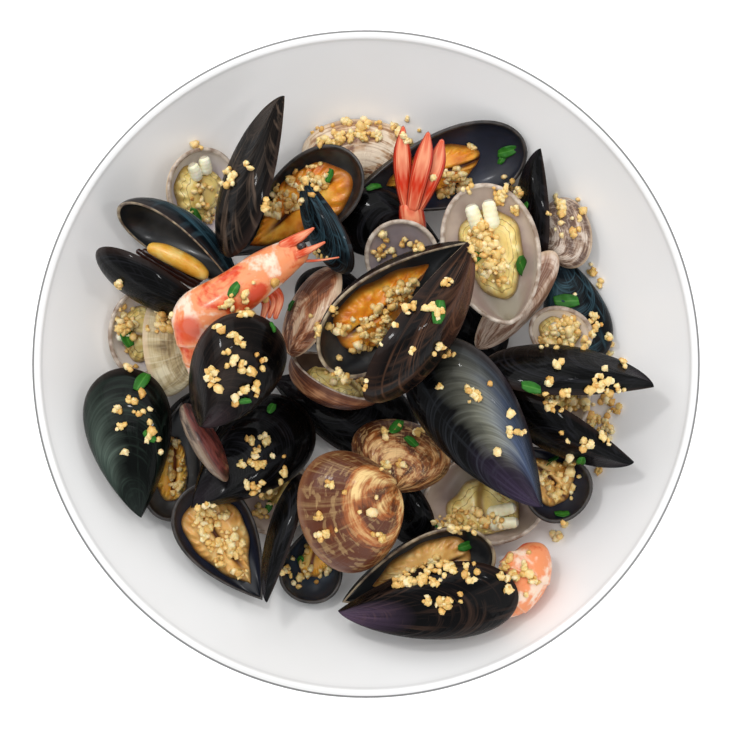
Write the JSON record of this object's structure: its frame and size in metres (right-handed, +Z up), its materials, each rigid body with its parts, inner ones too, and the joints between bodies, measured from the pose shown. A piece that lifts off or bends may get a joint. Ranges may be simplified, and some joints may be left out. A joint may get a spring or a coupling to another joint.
{
  "type": "bowl of steamed mussels",
  "caption": "Wide shallow white bowl heaped with steamed mussels, clams and prawns under fried garlic crumbs and chopped greens.",
  "frame": {"origin": "middle of the foot ring's underside", "axes": "+Z up through the bowl's axis, +Y towards the back of the bowl as it is served"},
  "size_m": [0.27, 0.27, 0.0979],
  "materials": {
    "white_glaze": "gloss",
    "mussel_shell": "satin",
    "clam_shell": "satin",
    "mussel_meat": "satin",
    "cooked_prawn": "satin"
  },
  "bodies": {
    "root": {"bowl": "white_glaze", "clam_a": "clam_shell", "clam_aa": "clam_shell", "clam_d": "clam_shell", "clam_ff": "clam_shell", "clam_i": "clam_shell", "clam_ii": "clam_shell", "clam_kk": "clam_shell", "clam_l": "clam_shell", "clam_l_lower": "clam_shell", "clam_ll": "clam_shell", "clam_mm": "clam_shell", "clam_o": "clam_shell", "clam_p": "clam_shell", "clam_s": "clam_shell", "clam_w": "clam_shell", "clam_y": "clam_shell", "clam_y_right": "clam_shell", "mussel_b": "mussel_shell", "mussel_bb": "mussel_shell", "mussel_bb_back": "mussel_shell", "mussel_c": "mussel_shell", "mussel_dd": "mussel_shell", "mussel_e": "mussel_shell", "mussel_ee": "mussel_shell", "mussel_ee_lower": "mussel_shell", "mussel_f": "mussel_shell", "mussel_gg": "mussel_shell", "mussel_h": "mussel_shell", "mussel_hh": "mussel_shell", "mussel_j": "mussel_shell", "mussel_j_back": "mussel_shell", "mussel_jj": "mussel_shell", "mussel_k2": "mussel_shell", "mussel_left": "mussel_shell", "mussel_middle": "mussel_shell", "mussel_n": "mussel_shell", "mussel_n_lower": "mussel_shell", "mussel_n_meat": "mussel_meat", "mussel_q": "mussel_shell", "mussel_q_lower": "mussel_shell", "mussel_r": "mussel_shell", "mussel_right": "mussel_shell", "mussel_t": "mussel_shell", "mussel_u": "mussel_shell", "mussel_v": "mussel_shell", "mussel_x": "mussel_shell", "mussel_z": "mussel_shell", "prawn": "cooked_prawn", "prawn_piece": "cooked_prawn", "prawn_tail": "cooked_prawn"}
  },
  "joints": []
}
